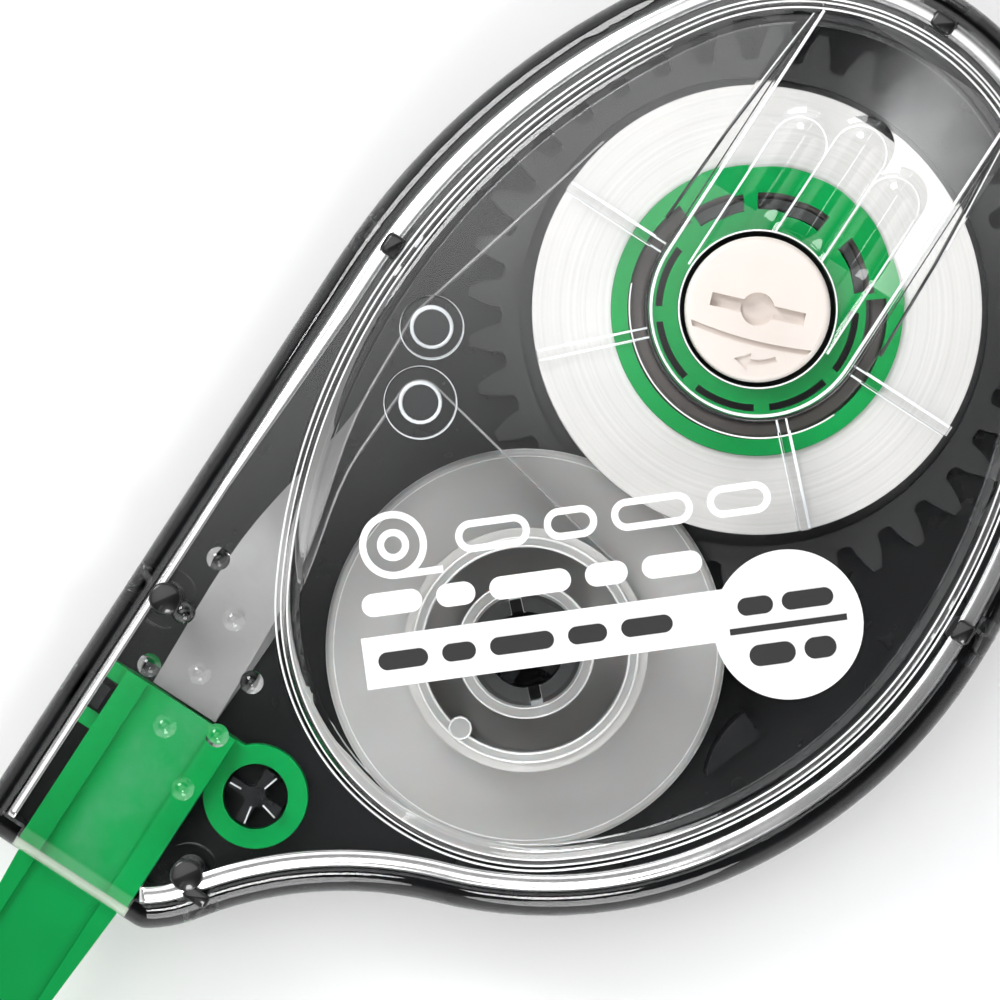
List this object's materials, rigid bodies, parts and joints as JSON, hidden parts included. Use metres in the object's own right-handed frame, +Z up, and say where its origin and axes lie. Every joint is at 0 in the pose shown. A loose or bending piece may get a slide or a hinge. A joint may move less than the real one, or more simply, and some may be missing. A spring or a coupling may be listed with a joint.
{
  "type": "correction tape dispenser",
  "caption": "Flat hand-held correction tape dispenser with a clear cover, geared supply and take-up reels, a slack knob and a flexible applicator head.",
  "frame": {"origin": "centre of the bounding box in plan, on the flat bottom of the case", "axes": "+X from the applicator tip to the round rear end, +Y towards the straight side, +Z up through the clear cover"},
  "size_m": [0.0872, 0.0428, 0.0147],
  "materials": {
    "case_black": "glossy black moulded plastic",
    "cover_clear": "clear polished plastic, smoke over the black base",
    "gear_black": "satin black plastic",
    "rubber_brown": "soft brown-grey rubber",
    "knob_white": "warm off-white plastic",
    "green_plastic": "green slightly translucent plastic",
    "tape_white": "wound white tape, matt",
    "spool_grey": "milky translucent plastic",
    "backing_film": "thin translucent backing paper",
    "ink_white": "white printing ink",
    "ink_black": "black printing ink"
  },
  "bodies": {
    "case": {"lower_case": "case_black", "upper_cover": "cover_clear", "tape_feed": "tape_white", "tape_return": "backing_film", "label_white_ink": "ink_white", "label_black_ink": "ink_black"},
    "drive": {"drive_gear": "gear_black", "clutch_ring": "rubber_brown", "slack_knob": "knob_white"},
    "supply": {"supply_core": "green_plastic", "tape_roll": "tape_white"},
    "takeup": {"takeup_gear": "gear_black", "takeup_spool": "spool_grey", "takeup_winding": "backing_film"},
    "head": {"head": "green_plastic", "head_tape": "tape_white"}
  },
  "joints": [
    {"name": "drive_turn", "type": "hinge", "parent": "case", "child": "drive", "pos_m": [0.0226, 0, 0.0026], "axis": [0, 0, 1], "continuous": true},
    {"name": "clutch_slip", "type": "hinge", "parent": "drive", "child": "supply", "pos_m": [0.0226, 0, 0.0074], "axis": [0, 0, 1], "continuous": true},
    {"name": "takeup_turn", "type": "hinge", "parent": "case", "child": "takeup", "pos_m": [-0.00061, 0.0005, 0.0026], "axis": [0, 0, 1], "continuous": true},
    {"name": "head_rock", "type": "hinge", "parent": "case", "child": "head", "pos_m": [-0.0159, 0.01508, 0.0074], "axis": [0, 1, 0], "range_deg": [-3, 3], "stiffness_Nm_per_rad": 0.25}
  ],
  "couplings": [
    {"joint": "takeup_turn", "follows": "drive_turn", "ratio": -2}
  ]
}
